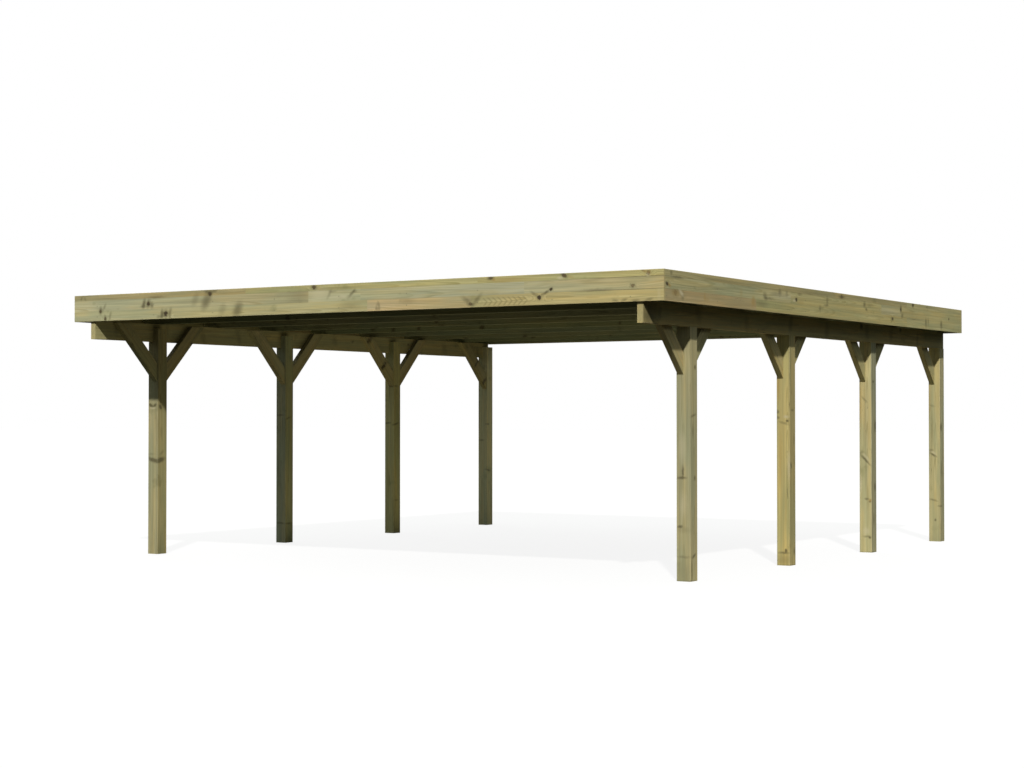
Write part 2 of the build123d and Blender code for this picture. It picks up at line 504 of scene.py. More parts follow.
def on_face(axis, face, rows):
    """Smears on an upright face, which stands at face along the axis."""
    lean_step = 15
    soften = 1.2
    smallest = 0.012
    deep = 0.03
    placed = []
    for tone, across, level, wide, tall, lean, strength in rows:
        angle = math.radians(lean_step * round(lean / lean_step)) * (-1 if wide > tall else 1)
        wide = max(soften * wide, smallest)
        tall = max(soften * tall, smallest)
        if axis == 1:
            spot, sizes, turn = (across, face, level), (wide, deep, tall), (0.0, angle, 0.0)
        else:
            spot, sizes, turn = (face, across, level), (deep, wide, tall), (-angle, 0.0, 0.0)
        placed.append((tone, spot, sizes, turn, strength))
    return placed


def whorls(draw, middle, bottom, top):
    """Rows of smears across one face, a whorl of branches apart."""
    rows = []
    level = bottom + draw.uniform(0.10, 0.50)
    while level < top - 0.1:
        lean = draw.uniform(-40, 40)
        across = middle + draw.uniform(-0.03, 0.03)
        strong = draw.uniform(0.2, 0.6)
        rows.append(("dark", across, level, draw.uniform(0.015, 0.055), 0.010, lean, strong))
        if draw.random() < 0.5:
            rows.append(("pale", across, level + 0.02, 0.03, 0.010, lean, 0.4))
        if draw.random() < 0.6:
            size = draw.uniform(0.007, 0.012)
            rows.append(("dark", middle + draw.uniform(-0.03, 0.03), level, size, size, 0, 1.0))
        level += draw.uniform(0.25, 0.80)
    return rows


def pieces(start):
    """Names and nodes of the pieces whose names start like this."""
    return [(name, node) for name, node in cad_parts.items() if name.startswith(start)]


def measured(name):
    """The low and the high corner of a piece, its middle and half its size."""
    low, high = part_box(name)
    return low, high, (low + high) / 2, (high - low) / 2


for name, node in pieces("post_"):
    draw = random.Random("heart of " + name)
    low, high, centre, half = measured(name)
    heart = (
        centre.x + draw.uniform(-0.022, 0.022),
        centre.y + draw.uniform(-0.022, 0.022),
        draw.uniform(0, 20),
    )
    stains = on_face(1, low.y, from_table(post_stains[name, "front"]))
    stains += on_face(0, high.x, from_table(post_stains[name, "right"]))
    stains += on_face(1, high.y, whorls(draw, centre.x, low.z, high.z))
    stains += on_face(0, low.x, whorls(draw, centre.y, low.z, high.z))
    tint, painted_side_light = post_tints_and_light[name]
    node.material_slots[0].material = timber(
        name + "_pine", heart, UPRIGHT, tint, tuple(centre), (half.x, half.y),
        painted_side_light=painted_side_light, ring=0.0042, knots=0.0, stains=stains,
    )


# Beams. One planed timber for each row, set on edge in the notches of the
# posts. They are sawn beside the heart, so the rings cross the section as arcs.
LENGTHWAYS = (0.0, 0.0, math.pi / 2)
# Tints of the beams: each beam's tone, with painted light, as each is set lighter or darker for
# the light on its shaded faces.
beam_tints_and_light = {"beam_left": (1.10, 1.08, 0.97), "beam_right": (1.02, 0.94, 0.76)}
for name, tint in beam_tints_and_light.items():
    draw = random.Random("heart of " + name)
    low, high, centre, half = measured(name)
    heart = (centre.x + draw.choice((-1, 1)) * 0.045, draw.uniform(0, 20), centre.z + 0.03)
    rows = []
    reach = low.y + 0.25
    while reach < high.y - 0.1:
        level = centre.z + draw.uniform(-0.03, 0.03)
        sizes = (draw.uniform(0.025, 0.055), draw.uniform(0.05, 0.09))
        rows.append(("dark", reach, level, *sizes, draw.uniform(-25, 25), 0.35))
        reach += draw.uniform(0.45, 0.95)
    stains = on_face(0, low.x, rows) + on_face(0, high.x, rows)
    # A dark smear near the front end of the right beam's outer face darkens its sunlit corner:
    # painted shade.
    if name == "beam_right":
        painted_shade_spot = (high.x, low.y + 0.09, 1.94)
        stains.append(("dark", painted_shade_spot, (0.009, 0.15, 0.12), (0.0, 0.0, 0.0), 0.75))
    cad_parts[name].material_slots[0].material = timber(
        name + "_pine", heart, LENGTHWAYS, tint, tuple(centre), (half.x, half.z),
        knots=0.1, blackest=0.3, stains=stains,
    )


# Knee braces. Short lengths of the beam's stock, laid at 45 degrees between
# post and beam, with an upright cut at the foot and a level cut at the head.
brace_half_width = 0.0575
for name, node in pieces("brace_"):
    draw = random.Random("heart of " + name)
    _, _, centre, half = measured(name)
    slope = (0.0, -math.pi / 4, math.pi / 2 if name.endswith("back") else -math.pi / 2)
    heart = (
        centre.x + draw.choice((-1, 1)) * 0.05,
        centre.y + draw.uniform(-0.03, 0.03),
        centre.z + draw.uniform(-0.03, 0.03),
    )
    bright = draw.uniform(0.90, 1.02)
    tint = (bright * draw.uniform(0.97, 1.06), bright, bright * draw.uniform(0.84, 0.96))
    # The faces of a brace that look up are darkened: painted shade.
    node.material_slots[0].material = timber(
        name + "_pine", heart, slope, tint, tuple(centre), (half.x, brace_half_width),
        painted_top_shade=0.55,
    )


# Joists. Planed timbers on edge, laid across both beams and stopped by the
# side fascias. They carry the roof sheets.
for name, node in pieces("joist_"):
    draw = random.Random("heart of " + name)
    _, _, centre, half = measured(name)
    heart = (
        draw.uniform(0, 20),
        centre.y + draw.choice((-1, 1)) * draw.uniform(0.03, 0.06),
        centre.z + draw.uniform(-0.04, 0.04),
    )
    # Joists are tinted darker and greener than the other timbers: painted shade, for the shade
    # under the roof.
    bright = draw.uniform(0.68, 0.76)
    tint = (bright * draw.uniform(0.84, 0.90), bright, bright * draw.uniform(0.95, 1.06))
    node.material_slots[0].material = timber(
        name + "_pine", heart, (0.0, 0.0, 0.0), tint, tuple(centre), (half.y, half.z),
        knots=0.35, blackest=0.35, worn=0.08,
    )


# Fascias. Each board is glued up from three strips of pine, and each strip
# from lengths joined end to end, planed flush. Strips differ in tone, and a
# hairline shows at every glued edge. The front and rear boards cap the ends.

# From the top down. The lowest strip takes what is left of the board.
STRIP_HEIGHTS = (0.048, 0.089)


def in_scene(name, data):
    """A new object with this data, in the scene."""
    made = bpy.data.objects.new(name, data)
    bpy.context.scene.collection.objects.link(made)
    return made


def strip_section(bottom, top, bevel_bottom, bevel_top, half_thick):
    """Outline of one strip, turning left round its long axis."""
    points = []
    corners = (
        (half_thick, bottom, bevel_bottom, -90),
        (half_thick, top, bevel_top, 0),
        (-half_thick, top, bevel_top, 90),
        (-half_thick, bottom, bevel_bottom, 180),
    )
    for side, height, bevel, first in corners:
        steps = 4 if bevel > 0.001 else 1
        round_side = side - math.copysign(bevel, side)
        round_height = height + (bevel if height == bottom else -bevel)
        for number in range(steps + 1):
            angle = math.radians(first + 90 * number / steps)
            points.append(
                (round_side + bevel * math.cos(angle), round_height + bevel * math.sin(angle))
            )
    return points


def glued_board(
    name, rows, along_y, knots=0.3, marks=(), stains=(), open_end=1.0, arrows=()
):
    """One fascia board as a mesh of closed strips, which stands for its CAD node.

    rows gives the joints and the tints of each strip, from the top down. A
    length between two joints has one tint, or one at each of its ends.
    """
    low, high, centre, half = measured(name)
    arris = 0.0025
    hairline = 0.00015
    end_bevel = 0.00015
    # The wood lies this far behind the CAD's faces, where the screw heads end.
    head_rise = 0.0004
    draw = random.Random("strips of " + name)
    mesh = bmesh.new()
    heart_layer = mesh.verts.layers.float_vector.new("strip_heart")
    tint_layer = mesh.verts.layers.float_vector.new("strip_tint")
    start = low.y if along_y else low.x
    stop = high.y if along_y else high.x
    half_thick = (half.x if along_y else half.y) - head_rise
    row_top = high.z
    for number, (joints, tints) in enumerate(rows):
        lowest = number == len(rows) - 1
        row_bottom = low.z if lowest else row_top - STRIP_HEIGHTS[number]
        bottom_bevel = arris if lowest else hairline
        top_bevel = arris if number == 0 else hairline
        section = strip_section(row_bottom, row_top, bottom_bevel, top_bevel, half_thick)
        ends = [start] + list(joints) + [stop]
        middle = (row_bottom + row_top) / 2
        for first, last, tint in zip(ends, ends[1:], tints):
            away = draw.choice((-1, 1)) * draw.uniform(0.05, 0.14)
            rise = draw.uniform(-0.05, 0.05)
            reach = draw.uniform(0, 30)
            if along_y:
                heart = (centre.x + away, reach, middle + rise)
            else:
                heart = (reach, centre.y + away, middle + rise)
            loops = []
            tint_first, tint_last = tint if isinstance(tint[0], tuple) else (tint, tint)
            for along, inset, tint_here in (
                (first, end_bevel, tint_first),
                (first + end_bevel, 0.0, tint_first),
                (last - end_bevel, 0.0, tint_last),
                (last, end_bevel, tint_last),
            ):
                loop = []
                for side, height in section:
                    side -= math.copysign(inset, side)
                    height -= math.copysign(inset, height - middle)
                    if along_y:
                        spot = (centre.x - side, along, height)
                    else:
                        spot = (along, centre.y + side, height)
                    vertex = mesh.verts.new(spot)
                    vertex[heart_layer] = heart
                    vertex[tint_layer] = tint_here
                    loop.append(vertex)
                loops.append(loop)
            count = len(section)
            for near, far in zip(loops, loops[1:]):
                for index in range(count):
                    after = (index + 1) % count
                    mesh.faces.new((near[index], near[after], far[after], far[index]))
            mesh.faces.new(loops[0])
            mesh.faces.new(reversed(loops[-1]))
        row_top = row_bottom
    bmesh.ops.recalc_face_normals(mesh, faces=mesh.faces)
    data = bpy.data.meshes.new(name + "_strips")
    mesh.to_mesh(data)
    mesh.free()
    board = in_scene(name + "_strips", data)
    turn = LENGTHWAYS if along_y else (0.0, 0.0, 0.0)
    seams = (high.z - STRIP_HEIGHTS[0], high.z - STRIP_HEIGHTS[0] - STRIP_HEIGHTS[1])
    data.materials.append(
        timber(
            name + "_pine", "strip_heart", turn, "strip_tint", tuple(centre),
            (half_thick, half.z), ring=0.0045, knots=knots, marks=marks, stains=stains,
            seams=seams, open_end=open_end, arrows=arrows,
        )
    )
    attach(board, "root")
    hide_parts(name)


front_low, front_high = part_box("fascia_front")
front_y = (front_low.y + front_high.y) / 2
# Knots, in metres: place along the board, height and radius, then how dark the
# knot is, and the grain round it.
front_knots = [
    (-2.560, 2.118, 0.012, 0.7, 0.2), (-2.505, 2.050, 0.012, 0.6, 0.2),
    (-2.011, 2.166, 0.014, 0.9, 0.1), (-1.815, 2.078, 0.018, 1.0, 0.1),
    (-1.327, 2.228, 0.014, 0.8, 0.1), (-0.247, 2.243, 0.015, 0.6, 0.3),
    (1.416, 2.252, 0.013, 0.5, 0.2), (1.236, 2.061, 0.012, 0.45, 0.1),
    (1.838, 2.090, 0.014, 1.0, 0.2), (1.942, 2.147, 0.010, 1.0, 0.2),
    (2.051, 2.244, 0.016, 0.6, 0.3), (2.619, 2.149, 0.013, 0.3, 0.2),
    (2.745, 2.240, 0.015, 0.3, 0.2),
]
# Smears by tone, as on the posts, with places along the board.
front_stains = {
    "dark": [
        (-2786, 2232, 10, 20, 30, 0.6), (-2745, 2230, 10, 20, -25, 0.4),
        (-2560, 2125, 18, 32, -6, 0.9), (-2515, 2150, 12, 34, 24, 0.5),
        (-2505, 2056, 14, 28, -8, 0.8), (-2448, 2075, 12, 40, 22, 0.5),
        (-2060, 2170, 18, 38, 12, 0.9), (-2011, 2168, 20, 34, 8, 1.0),
        (-1972, 2153, 20, 28, -20, 0.7), (-2067, 2145, 30, 13, 0, 0.5),
        (-1855, 2077, 16, 38, 5, 0.9), (-1815, 2078, 24, 30, 0, 1.0),
        (-1768, 2082, 16, 40, 22, 0.7), (-1880, 2055, 34, 13, 0, 0.5),
        (-1369, 2168, 40, 75, 30, 0.75), (-1490, 2185, 30, 55, 30, 0.35),
        (-1327, 2228, 19, 20, 0, 0.8), (-1366, 2246, 14, 36, -72, 0.6),
        (-1282, 2248, 14, 40, 70, 0.6), (-1920, 2220, 79, 8, 0, 0.6),
        (-1033, 2088, 42, 64, 30, 0.75), (-1196, 2092, 34, 52, 30, 0.35),
        (-247, 2241, 29, 16, -8, 1.0), (-94, 2181, 13, 41, 32, 0.5), (-64, 2200, 36, 10, 0, 0.4),
        (126, 2180, 13, 44, 38, 0.7), (156, 2196, 21, 12, 0, 0.5), (386, 2081, 11, 28, -18, 0.5),
        (379, 2050, 25, 10, 0, 0.5), (364, 2070, 10, 36, 20, 0.3), (103, 2085, 98, 28, 0, 0.3),
        (658, 2103, 66, 21, 0, 0.3), (-400, 2170, 110, 50, 0, 0.25),
        (1416, 2248, 30, 13, 0, 1.0), (1205, 2088, 18, 52, -56, 0.6),
        (1294, 2090, 18, 60, 52, 0.6), (1236, 2057, 29, 12, 0, 0.55),
        (1252, 2105, 49, 19, 0, 0.3), (1838, 2090, 16, 14, 0, 1.0),
        (1797, 2120, 10, 34, -56, 0.6), (1885, 2119, 10, 36, 58, 0.6),
        (1942, 2147, 14, 10, 0, 1.0), (1909, 2129, 9, 26, 55, 0.5),
        (2051, 2244, 30, 13, -24, 0.9), (2619, 2149, 18, 16, 0, 0.45),
        (2705, 2253, 16, 6, -20, 0.6), (2551, 2051, 24, 7, 12, 0.6), (2640, 2043, 29, 7, 0, 0.6),
        (2748, 2048, 32, 7, 10, 0.6), (2478, 2047, 24, 6, 0, 0.5), (2330, 2128, 130, 7, 0, 0.5),
    ],
    "warm": [
        (-194, 2228, 34, 12, -15, 0.5), (1444, 2235, 13, 10, 0, 0.9),
        (1564, 2229, 140, 16, 0, 0.5), (2105, 2230, 30, 9, -15, 0.4),
        (2721, 2247, 22, 11, -20, 0.7), (2751, 2236, 13, 17, 0, 0.9),
    ],
    "pale": [
        (-188, 2187, 95, 41, 0, 0.5), (15, 2155, 98, 20, 0, 0.5), (2021, 2226, 25, 9, 0, 0.7),
        (2741, 2223, 18, 6, 0, 0.7), (2830, 2082, 13, 42, 0, 0.2),
    ],
}
glued_board(
    "fascia_front",
    [
        ((-0.95, 1.30), ((0.90, 0.85, 0.78), (0.96, 0.98, 0.84), (1.02, 1.02, 0.84))),
        (
            (-0.304, 0.21, 1.71),
            (
                ((1.12, 1.18, 1.32), (0.94, 0.92, 0.92)),
                ((1.18, 1.19, 1.27), (1.07, 1.13, 1.20)),
                ((0.97, 1.04, 1.13), (0.94, 1.02, 1.23)),
                ((1.14, 1.13, 1.21), (1.05, 1.00, 0.94)),
            ),
        ),
        (
            (0.276, 1.24),
            (
                ((1.10, 1.15, 1.22), (0.95, 0.98, 0.96)),
                ((1.12, 1.01, 1.05), (1.08, 1.01, 0.98)),
                (1.08, 1.03, 0.90),
            ),
        ),
    ],
    along_y=False,
    knots=0.0,
    marks=[((x, front_y, z), size, dark, halo) for x, z, size, dark, halo in front_knots],
    stains=on_face(1, front_low.y, from_table(front_stains)),
    arrows=[((1.545, front_y, 2.074), 0.23, 0.036, 0.044)],
)
right_low, right_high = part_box("fascia_right")
right_x = (right_low.x + right_high.x) / 2
right_knots = [
    (-3.064, 2.157, 0.012, 1.0, 0.2), (-2.938, 2.100, 0.018, 0.0, 0.3),
    (-0.841, 2.159, 0.012, 1.0, 0.3), (0.099, 2.232, 0.013, 0.4, 0.3),
    (1.269, 2.095, 0.012, 0.8, 0.3), (1.473, 2.188, 0.009, 1.0, 0.2),
    (1.780, 2.242, 0.013, 0.8, 0.3), (2.748, 2.155, 0.009, 0.9, 0.3),
]
right_stains = {
    "dark": [
        (-3064, 2157, 29, 11, -15, 1.1), (-2827, 2071, 22, 21, -18, 0.51),
        (-3001, 2239, 19, 18, 0, 0.59), (-2910, 2209, 85, 6, 2, 0.7),
        (-1430, 2156, 26, 38, -60, 0.59), (-1356, 2140, 93, 9, 4, 0.5),
        (-1503, 2090, 109, 23, 0, 0.4), (-1157, 2196, 26, 27, 0, 0.68),
        (-1026, 2194, 22, 24, -14, 0.51), (-1235, 2186, 94, 13, 0, 0.3),
        (-841, 2159, 22, 14, 0, 1.0), (-772, 2204, 40, 11, 0, 0.5),
        (-362, 2109, 26, 26, 0, 0.59), (-211, 2180, 21, 38, 0, 0.51),
        (-233, 2142, 46, 8, 0, 0.5), (99, 2230, 60, 13, 4, 0.8), (605, 2190, 29, 24, 22, 0.68),
        (650, 2149, 26, 14, -20, 0.7), (738, 2193, 81, 10, 0, 0.4),
        (1473, 2190, 21, 32, 0, 0.94), (1510, 2135, 29, 20, 30, 0.59),
        (1269, 2095, 26, 13, 0, 0.8), (1780, 2242, 26, 15, 0, 0.9),
        (2121, 2093, 24, 41, 0, 0.68), (2182, 2105, 19, 38, 0, 0.42),
        (2535, 2092, 26, 38, 0, 0.77), (2144, 2244, 20, 11, 0, 0.6),
        (-2050, 2226, 380, 14, 0, 0.25), (-450, 2226, 260, 14, 0, 0.28),
        (1750, 2120, 300, 16, 0, 0.2),
    ],
    "warm": [
        (-3029, 2150, 27, 8, -30, 0.9), (-2938, 2100, 52, 23, 0, 0.8),
        (-2474, 2093, 16, 29, 0, 0.6), (-2435, 2077, 41, 15, 0, 0.4),
        (-1860, 2160, 26, 30, 0, 0.3), (-1648, 2105, 30, 35, 14, 0.8),
        (-753, 2139, 60, 16, 0, 0.3), (350, 2120, 300, 16, 0, 0.25),
    ],
    "pale": [
        (-2845, 2101, 14, 40, -58, 0.8), (-877, 2149, 27, 8, 0, 0.8),
        (-1100, 2176, 220, 26, 0, 0.35), (1200, 2165, 240, 18, 0, 0.3),
    ],
}
glued_board(
    "fascia_right",
    [
        (
            (0.15, 1.62),
            (((0.88, 0.88, 0.82), (0.90, 0.84, 0.72)), (0.97, 0.90, 0.78), (1.0, 0.98, 0.88)),
        ),
        (
            (-0.95, 1.00, 1.48),
            (
                ((0.97, 1.00, 0.97), (0.98, 1.02, 1.02)),
                (1.0, 1.00, 0.86),
                (0.98, 1.0, 0.98),
                (1.02, 1.0, 0.86),
            ),
        ),
        (
            (-1.594, 1.625),
            (
                ((1.04, 0.92, 0.88), (1.08, 0.92, 0.84)),
                ((0.92, 0.94, 0.80), (1.02, 1.00, 0.84)),
                (0.96, 0.99, 0.90),
            ),
        ),
    ],
    along_y=True,
    knots=0.0,
    marks=[((right_x, y, z), size, dark, halo) for y, z, size, dark, halo in right_knots],
    stains=on_face(0, right_high.x, from_table(right_stains)),
    open_end=-0.8,
)
glued_board(
    "fascia_back",
    [
        ((-1.1, 1.2), ((0.95, 0.96, 0.9), (1.0, 1.0, 0.85), (0.96, 0.94, 0.88))),
        ((0.35,), ((0.97, 1.0, 1.0), (1.04, 1.0, 0.92))),
        ((-0.6, 1.9), ((1.04, 0.98, 0.92), (0.98, 1.0, 0.96), (1.0, 1.0, 0.86))),
    ],
    along_y=False,
)
glued_board(
    "fascia_left",
    [
        ((-0.7, 1.5), ((0.94, 0.95, 0.88), (1.0, 1.0, 0.9), (0.97, 0.93, 0.84))),
        ((-1.7, 0.6), ((1.0, 1.0, 0.88), (0.95, 1.0, 1.02), (1.03, 1.0, 0.92))),
        ((-0.3, 2.1), ((0.98, 1.0, 0.94), (1.05, 0.97, 0.9), (0.97, 1.0, 0.96))),
    ],
    along_y=True,
)


# Roof sheets. Roll-formed steel, galvanised and coil coated in dark grey, with
# a pale backing coat below. Rain leaves dust in the pans.
steel, start = blank_material("roof_coated_steel")
backing_coat = (0.36, 0.37, 0.36, 1)
top_coat = (0.045, 0.052, 0.058, 1)
dust_tone = (0.20, 0.185, 0.150, 1)
chalk_tone = (0.14, 0.15, 0.155, 1)
pan_floor = 2.190
dust_line = 2.202
place = start.node("TexCoord", output="Object")
facing = place.node("NewGeometry", output="Normal")
_, _, up = facing.axes()
_, _, height = place.axes()
top = up.step(-0.05, 0.05)
cloud = place.noise((1.1, 0.6, 1.0), (3.0, 8.0, 1.0), 4.0, 0.6)
runs = place.noise((26.0, 0.7, 1.0), (1.0, 4.0, 9.0), 3.0, 0.6)
grains = place.noise((420.0, 420.0, 420.0), (0.0, 0.0, 0.0), 2.0, 0.7)
paint = top.blend(backing_coat, top_coat)
dust = height.step(dust_line, pan_floor) * top * cloud.step(0.35, 0.75) * (0.45 + 0.55 * runs)
paint = paint.mix(dust_tone, 0.45 * dust)
chalk = top * runs.step(0.45, 0.8)
paint = paint.mix(chalk_tone, 0.22 * chalk)
rough = 0.42 + 0.26 * dust + 0.10 * chalk + 0.06 * grains
relief = 0.25 * grains + 6.0 * cloud
bump = relief.node("Bump", None, {"Strength": 0.25, "Distance": 0.001, "Height": relief})
paint.surface({"Roughness": rough, "Normal": bump, "Metallic": 0.0})
for _, node in pieces("roof_sheet_"):
    node.material_slots[0].material = steel


# Timber screws. Coated countersunk screws with a six-lobed drive, set flush:
# two through each tongue into the beam, two at the head and two at the foot of
# each brace, and pairs that fix the fascias to the joists.
def geometry_tree(name, sizes):
    """A geometry node tree with named sizes, and the shades that carry them."""
    tree = bpy.data.node_groups.new(name, "GeometryNodeTree")
    tree.interface.new_socket("Points", in_out="INPUT", socket_type="NodeSocketGeometry")
    for size in sizes:
        tree.interface.new_socket(size, in_out="INPUT", socket_type="NodeSocketFloat")
    tree.interface.new_socket("Screws", in_out="OUTPUT", socket_type="NodeSocketGeometry")
    entry = Shade(tree).node("NodeGroupInput")
    return tree, [entry.other(number) for number in range(len(sizes) + 1)]


def place_screws(tree, points, head, finish):
    """The last steps of a tree: a turned head on every point, made real."""
    outward = head.node(
        "GeometryNodeInputNamedAttribute",
        {"data_type": "FLOAT_VECTOR"},
        {"Name": "outward"},
        "Attribute",
    )
    upright = outward.node(
        "FunctionNodeAlignRotationToVector", {"axis": "Z"}, {"Vector": outward}
    )
    whole_turn = {2: 0.0, 3: 2 * math.pi, "Seed": 5}
    spin = upright.node("FunctionNodeRandomValue", {"data_type": "FLOAT"}, whole_turn, 1)
    spin = spin.node("FunctionNodeAxisAngleToRotation", None, {"Angle": spin})
    turned = upright.node(
        "FunctionNodeRotateRotation",
        {"rotation_space": "LOCAL"},
        {"Rotation": upright, "Rotate By": spin},
    )
    placed = points.node(
        "GeometryNodeInstanceOnPoints",
        None,
        {"Points": points, "Instance": head, "Rotation": turned},
    )
    real = placed.node("GeometryNodeRealizeInstances", None, {"Geometry": placed})
    real = real.node("GeometryNodeSetMaterial", None, {"Geometry": real, "Material": finish})
    real.node("NodeGroupOutput", None, {0: real})


def resized(mesh, faces, share):
    """The mesh with these faces scaled about their middles."""
    sockets = {0: mesh, "Selection": faces, "Scale": share}
    return mesh.node("GeometryNodeScaleElements", {"domain": "FACE"}, sockets)


def extruded(mesh, faces, offset):
    """The mesh with these faces drawn out. Its output Top selects them again."""
    sockets = {"Mesh": mesh, "Selection": faces, "Offset Scale": offset, "Individual": False}
    return mesh.node("GeometryNodeExtrudeMesh", {"mode": "FACES"}, sockets)


def screw_piece(name, tree, sizes, spots):
    """A mesh of screws: the tree run once on points that face outward."""
    data = bpy.data.meshes.new(name)
    data.from_pydata([spot for spot, _ in spots], [], [])
    facing = data.attributes.new("outward", "FLOAT_VECTOR", "POINT")
    for number, (_, outward) in enumerate(spots):
        facing.data[number].vector = outward
    piece = in_scene(name, data)
    screws = piece.modifiers.new("screws", "NODES")
    screws.node_group = tree
    for socket in tree.interface.items_tree:
        if socket.name in sizes:
            screws[socket.identifier] = sizes[socket.name]
    graph = bpy.context.evaluated_depsgraph_get()
    made = bpy.data.meshes.new_from_object(piece.evaluated_get(graph))
    piece.modifiers.clear()
    piece.data = made
    made.name = name
    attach(piece, "root")
    return piece


def screw_metal(name, pale, worn, metal):
    """Metal with a thin coat that is rubbed and dulled unevenly."""
    material, start = blank_material(name)
    place = start.node("TexCoord", output="Object")
    film = place.noise((260.0, 260.0, 260.0), (2.0, 5.0, 7.0), 3.0, 0.6)
    grit = place.noise((2400.0, 2400.0, 2400.0), (1.0, 3.0, 4.0), 2.0, 0.6)
    coat = film.step(0.35, 0.65).blend(pale, worn)
    bump = grit.node("Bump", None, {"Strength": 0.3, "Distance": 0.0002, "Height": grit})
    coat.surface({"Metallic": metal, "Roughness": 0.34 + 0.22 * film, "Normal": bump})
    return material


tree, (points, head_width, head_depth, drive_depth) = geometry_tree(
    "countersunk screws", ("Head width", "Head depth", "Drive depth")
)
disc = head_width.node(
    "GeometryNodeMeshCylinder",
    {"fill_type": "NGON"},
    {"Vertices": 24, "Radius": head_width * 0.5, "Depth": head_depth},
)
top = disc.other("Top")
sunk = head_depth.node("CombineXYZ", None, {2: head_depth * -0.5})
disc = disc.node("GeometryNodeTransform", None, {"Geometry": disc, "Translation": sunk})
rim = resized(disc, top, 0.94)
inset = extruded(rim, top, 0.0)
drive = inset.other("Top")
drive_face = resized(inset, drive, 0.52)
# Of every four corners of the drive two are drawn in, which leaves six lobes.
corner = drive.node("GeometryNodeInputIndex")
valley = corner.math("FLOORED_MODULO", corner, 4.0)
valley = valley.node(
    "FunctionNodeCompare", {"data_type": "FLOAT", "operation": "LESS_THAN"}, {0: valley, 1: 1.5}
)
valley = valley.node("FunctionNodeBooleanMath", {"operation": "AND"}, {0: valley, 1: drive})
spot = valley.node("GeometryNodeInputPosition")
drawn_in = spot.vector("MULTIPLY", (0.72, 0.72, 1.0))
lobes = drive_face.node(
    "GeometryNodeSetPosition",
    None,
    {"Geometry": drive_face, "Selection": valley, "Position": drawn_in},
)
socketed = extruded(lobes, drive, drive_depth * -1.0)
place_screws(
    tree,
    points,
    socketed,
    screw_metal("screw_coat", (0.30, 0.28, 0.17, 1), (0.22, 0.21, 0.14, 1), 0.55),
)

# How far a head stands out of a post or a brace.
proud = 0.0003
diagonal = math.sqrt(0.5)
# Steps from the middle of a tongue and from the top of its post.
tongue_places = ((-0.026, -0.083), (0.026, -0.033))
# The middle line of a brace meets the post this far above its lowest point.
brace_middle = 0.0813
brace_head_levels = (1.925, 1.985)
brace_foot_step = 0.012
brace_foot_rise = 0.032
# The faces of the fascias, and the pairs of screws in them.
side_face = 2.868
end_face = 3.1145
board_middle = 2.1165
pair_step = 0.045
first_pair = -2.6
pair_spacing = 0.65
pairs_on_a_board = 9
spots = []
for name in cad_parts:
    low, high, centre, _ = measured(name)
    inward = -math.copysign(1, centre.x)
    inner_x = low.x if inward < 0 else high.x
    if name.startswith("post_"):
        for step, rise in tongue_places:
            spot = (inner_x + inward * proud, centre.y + step, high.z + rise)
            spots.append((spot, (inward, 0, 0)))
    elif name.startswith("brace_"):
        lean = 1 if name.endswith("back") else -1
        post_face = low.y if lean > 0 else high.y
        for level in brace_head_levels:
            away = level - (low.z + brace_middle)
            spot = (inner_x + inward * proud, post_face + lean * away, level)
            spots.append((spot, (inward, 0, 0)))
        for step in (-brace_foot_step, brace_foot_step):
            away = brace_foot_rise + proud * diagonal
            level = low.z + brace_foot_rise - proud * diagonal
            spot = (centre.x + step, post_face + lean * away, level)
            spots.append((spot, (0, lean * diagonal, -diagonal)))
    elif name.startswith("joist_"):
        for side in (-1, 1):
            for step in (-pair_step, pair_step):
                spots.append(((side * side_face, centre.y, centre.z + step), (side, 0, 0)))
for way in (-1, 1):
    for number in range(pairs_on_a_board):
        for step in (-pair_step, pair_step):
            spot = (first_pair + pair_spacing * number, way * end_face, board_middle + step)
            spots.append((spot, (0, way, 0)))
screws = screw_piece(
    "timber_screws",
    tree,
    {"Head width": 0.0092, "Head depth": 0.004, "Drive depth": 0.0022},
    spots,
)


# Roofing screws. Hexagon heads on bonded washers, driven through the crowns of
# the ribs into the joists: every second rib, and every rib at front and back.
washer_depth = 0.0022
head_lift = 0.0015
tree, (points, head_width, head_height, washer_width) = geometry_tree(
    "roofing screws", ("Head width", "Head height", "Washer width")
)
washer = washer_width.node(
    "GeometryNodeMeshCone",
    {"fill_type": "NGON"},
    {
        "Vertices": 24,
        "Radius Bottom": washer_width * 0.5,
        "Radius Top": washer_width * 0.3,
        "Depth": washer_depth,
    },
)
hexagon = head_width.node(
    "GeometryNodeMeshCylinder",
    {"fill_type": "NGON"},
    {"Vertices": 6, "Radius": head_width * 0.577, "Depth": head_height},
)
crown = hexagon.other("Top")
raised = head_height.node("CombineXYZ", None, {2: head_height * 0.5 + head_lift})
hexagon = hexagon.node("GeometryNodeTransform", None, {"Geometry": hexagon, "Translation": raised})
dome = extruded(hexagon, crown, head_height * 0.15)
dome = resized(dome, dome.other("Top"), 0.7)
both = washer.node("GeometryNodeJoinGeometry")
tree.links.new(washer.socket, both.socket.node.inputs[0])
tree.links.new(dome.socket, both.socket.node.inputs[0])
place_screws(
    tree,
    points,
    both,
    screw_metal("zinc_plate", (0.46, 0.47, 0.48, 1), (0.30, 0.31, 0.32, 1), 0.9),
)
sheet_edges = [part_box(f"roof_sheet_{number}")[0].x for number in range(1, 6)]
ribs_per_sheet = 8
rib_pitch = (sheet_edges[1] - sheet_edges[0]) / ribs_per_sheet
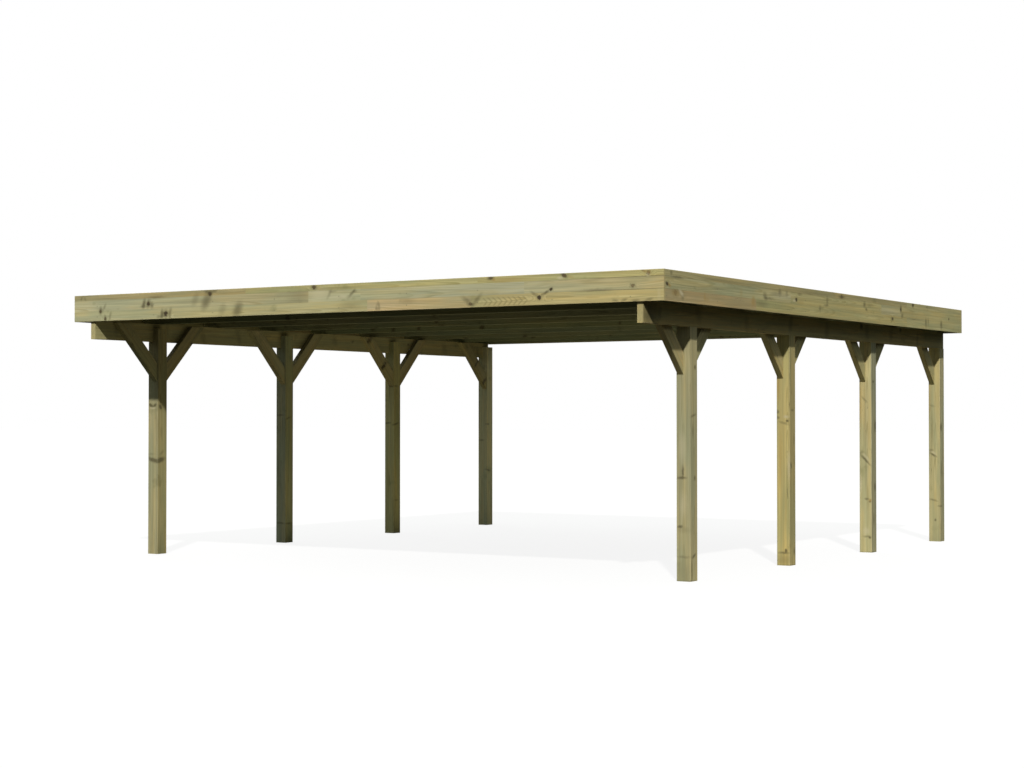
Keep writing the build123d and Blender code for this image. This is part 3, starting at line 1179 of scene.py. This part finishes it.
# From the edge of a sheet to its first crown, and the tops of plain and lapped
# crowns.
first_crown = 0.0306
crown_z = 2.2095
lap_z = 2.2103
spots = []
for joist in range(1, 10):
    _, _, centre, _ = measured(f"joist_{joist}")
    stride = 1 if joist in (1, 9) else 2
    for edge in sheet_edges:
        ribs = ribs_per_sheet + 1 if edge == sheet_edges[-1] else ribs_per_sheet
        for rib in range(0, ribs, stride):
            lapped = (rib == 0 and edge != sheet_edges[0]) or rib == ribs_per_sheet
            level = lap_z if lapped else crown_z
            spots.append(((edge + first_crown + rib * rib_pitch, centre.y, level), (0, 0, 1)))
screws = screw_piece(
    "roof_screws",
    tree,
    {"Head width": 0.008, "Head height": 0.005, "Washer width": 0.018},
    spots,
)


# Floor, light and camera. The carport stands on a plain pale floor in a low
# key light from the right front, with pale fill from above, a broad, weak light
# from behind and, under the roof, the light that the ground throws back.
floor_mesh = bmesh.new()
bmesh.ops.create_grid(floor_mesh, x_segments=1, y_segments=1, size=120.0)
floor_data = bpy.data.meshes.new("floor")
floor_mesh.to_mesh(floor_data)
floor_mesh.free()
floor = in_scene("floor", floor_data)
floor.visible_diffuse = False
floor.visible_glossy = False
floor_paint, start = blank_material("floor_paint")
glow = start.node("Emission", None, {"Color": (1.0, 1.0, 1.0, 1), "Strength": 1.03})
matt = glow.node("BsdfDiffuse", None, {"Color": (0.9, 0.9, 0.9, 1)})
surface = glow.node("MixShader", None, {0: 0.15, 1: glow, 2: matt})
under = surface.node("NewGeometry", output="Backfacing")
clear = surface.node("BsdfTransparent")
surface = surface.node("MixShader", None, {0: under, 1: surface, 2: clear})
surface.node("OutputMaterial", None, {"Surface": surface})
floor_data.materials.append(floor_paint)

world = bpy.data.worlds.new("studio")
bpy.context.scene.world = world
world.use_nodes = True
world.node_tree.nodes.clear()
ground = (0.02, 0.02, 0.016, 1)
horizon = (0.074, 0.082, 0.073, 1)
overhead = (0.61, 0.65, 0.61, 1)
looking = Shade(world.node_tree).node("TexCoord", output="Generated")
_, _, rise = looking.axes()
fill = rise.step(-0.10, 0.02).blend(ground, horizon)
fill = fill.mix(overhead, rise.step(0.1, 0.75))
seen = fill.node("LightPath", output="Is Camera Ray")
fill = fill.mix((1.0, 1.0, 1.0, 1), seen)
backdrop = fill.node("Background", None, {"Color": fill, "Strength": 1.0})
backdrop.node("OutputWorld", None, {"Surface": backdrop})


def lamp(name, kind, energy, colour):
    """A light, and the stand that holds it."""
    light = bpy.data.lights.new(name, kind)
    light.energy = energy
    light.color = colour
    return light, in_scene(name, light)


def aimed(direction):
    """The turn of a stand whose lamp shines this way."""
    return Vector(direction).to_track_quat("-Z", "Y").to_euler()


key, key_stand = lamp("key", "SUN", 2.9, (1.0, 0.97, 0.92))
key.angle = math.radians(1.5)
key_stand.rotation_euler = aimed((-0.683, 1.098, -1.0))

rear, rear_stand = lamp("rear", "SUN", 1.1, (0.96, 0.98, 1.0))
rear.angle = math.radians(40)
rear_stand.rotation_euler = aimed((0.8, -0.75, -0.4))

bounce, bounce_stand = lamp("bounce", "AREA", 28.0, (1.0, 0.93, 0.66))
bounce.shape = "RECTANGLE"
bounce.size = 5.2
bounce.size_y = 5.6
bounce_stand.location = (0.25, 0.0, 0.01)
bounce_stand.rotation_euler = (math.pi, 0.0, 0.0)
bounce_stand.visible_camera = False
bounce_stand.visible_glossy = False

camera = bpy.data.cameras.new("camera")
camera.sensor_width = 36.0
camera.lens = 66.866
camera.clip_end = 400.0
camera_stand = in_scene("camera", camera)
camera_stand.location = (9.1113, -14.9551, 1.2221)
camera_stand.rotation_euler = (math.radians(90.9713), 0.0, math.radians(32.372))
bpy.context.scene.camera = camera_stand
bpy.context.scene.view_settings.view_transform = "Standard"
